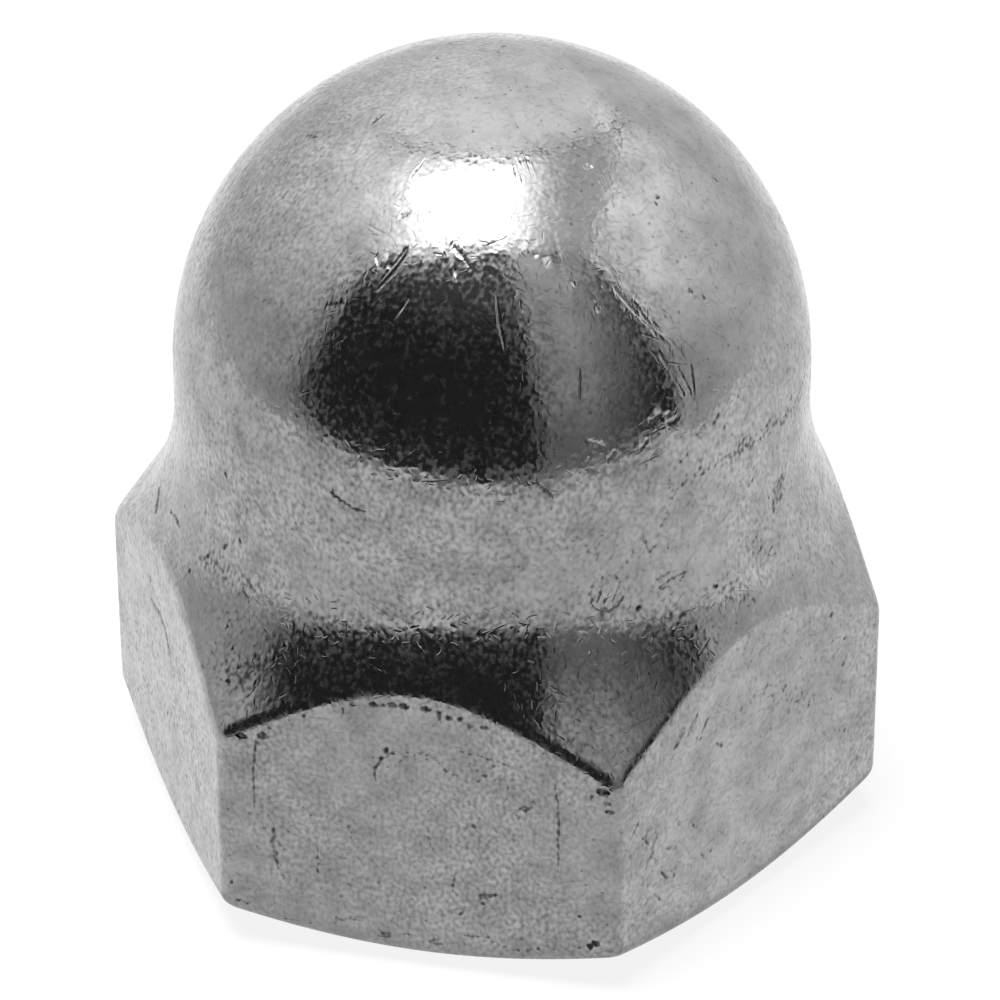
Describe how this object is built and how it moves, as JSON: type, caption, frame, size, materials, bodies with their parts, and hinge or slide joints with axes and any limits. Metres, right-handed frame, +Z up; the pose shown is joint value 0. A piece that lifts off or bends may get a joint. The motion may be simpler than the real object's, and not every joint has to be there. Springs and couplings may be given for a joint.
{
  "type": "cap nut",
  "caption": "High domed hexagon cap nut with a hollow swept shoulder and a blind threaded bore that covers the end of a bolt or stud.",
  "frame": {"origin": "centre of the flat bearing face, on the thread's axis", "axes": "+Z up the thread's axis from the bearing face to the crown; two upright edges of the hexagon on the X axis, two flats facing +Y and -Y"},
  "size_m": [0.0146, 0.0128, 0.0153],
  "materials": {
    "tumbled_steel": "tumbled bright, fine pebbled grain with small nicks"
  },
  "bodies": {
    "root": {"cap_nut": "tumbled_steel"}
  },
  "joints": []
}
